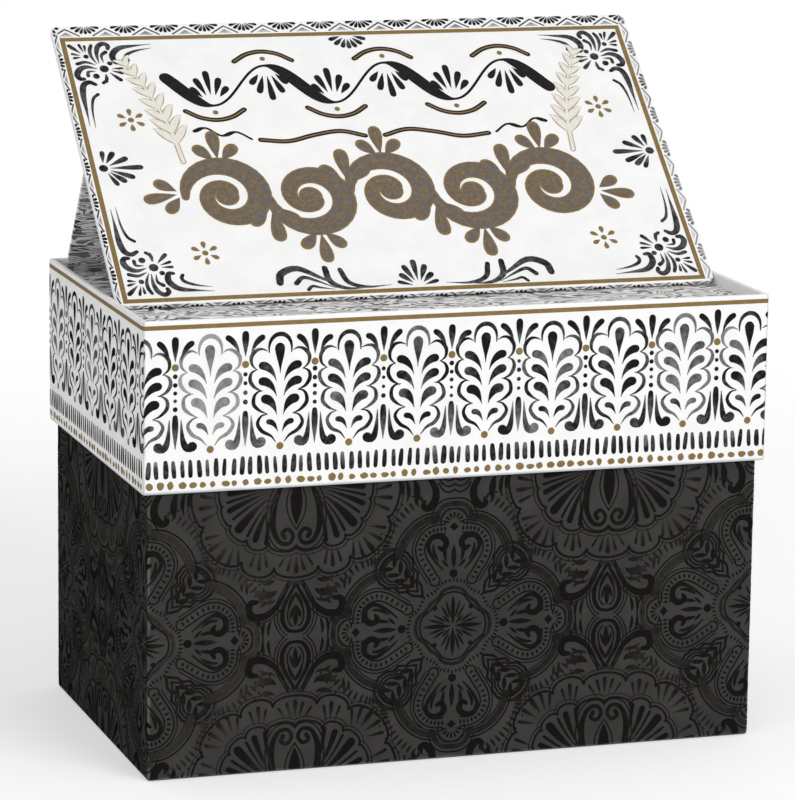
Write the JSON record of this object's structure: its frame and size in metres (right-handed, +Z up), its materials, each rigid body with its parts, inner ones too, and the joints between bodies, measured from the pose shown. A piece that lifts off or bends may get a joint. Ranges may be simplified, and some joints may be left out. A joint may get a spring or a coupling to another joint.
{
  "type": "recipe card box",
  "caption": "Deep paperboard box with a lift-off lid; in the recess on top a hinged strut props up a flat display panel like an easel.",
  "frame": {"origin": "centre of the underside of the base, on the surface the box stands on", "axes": "+X to the right seen from the front, front towards -Y, +Z up"},
  "size_m": [0.178, 0.1124, 0.1915],
  "materials": {
    "greyboard": "grey chipboard, matt",
    "stay_tape": "kraft paper tape",
    "damask_wrap": "charcoal printed paper, satin varnish",
    "charcoal_paper": "plain charcoal paper, matt",
    "border_wrap": "white printed paper, satin varnish",
    "figured_paper": "white paper with a dense grey and black figure",
    "panel_print": "white printed paper, satin varnish",
    "white_lining": "uncoated white paper",
    "hinge_cloth": "black book cloth",
    "magnet": "nickel-plated disc"
  },
  "bodies": {
    "base": {"base_tray_board": "greyboard", "base_wrap": "damask_wrap", "base_floor_lining": "white_lining", "base_wall_lining": "white_lining", "base_underside_sheet": "charcoal_paper", "base_corner_stay_front_left": "stay_tape", "base_corner_stay_front_right": "stay_tape", "base_corner_stay_back_left": "stay_tape", "base_corner_stay_back_right": "stay_tape"},
    "lid": {"lid_wall_board": "greyboard", "lid_deck_board": "greyboard", "lid_wrap": "border_wrap", "lid_deck_paper": "figured_paper", "lid_deck_lining": "white_lining", "lid_wall_lining": "white_lining", "deck_hinge_tape": "hinge_cloth", "lid_corner_stay_front_left": "stay_tape", "lid_corner_stay_front_right": "stay_tape", "lid_corner_stay_back_left": "stay_tape", "lid_corner_stay_back_right": "stay_tape", "deck_magnet_left": "magnet", "deck_magnet_right": "magnet"},
    "strut": {"strut_board": "greyboard", "strut_wrap": "figured_paper", "strut_back_sheet": "figured_paper", "strut_foot_tape": "hinge_cloth", "strut_tip_tape": "hinge_cloth"},
    "panel": {"panel_board": "greyboard", "panel_wrap": "panel_print", "panel_back_sheet": "figured_paper", "panel_hinge_tape": "hinge_cloth", "panel_magnet_left": "magnet", "panel_magnet_right": "magnet"}
  },
  "joints": [
    {"name": "lid_lift", "type": "slide", "parent": "base", "child": "lid", "axis": [0, 0, 1], "range_m": [0, 0.06]},
    {"name": "strut_fold", "type": "hinge", "parent": "lid", "child": "strut", "pos_m": [0, 0.0501, 0.1229], "axis": [1, 0, 0], "range_deg": [0, 54.8]},
    {"name": "panel_fold", "type": "hinge", "parent": "strut", "child": "panel", "pos_m": [0, 0.02532, 0.16012], "axis": [1, 0, 0], "range_deg": [-96.11, 0]}
  ],
  "couplings": [
    {"joint": "panel_fold", "follows": "strut_fold", "ratio": -1.7536}
  ]
}
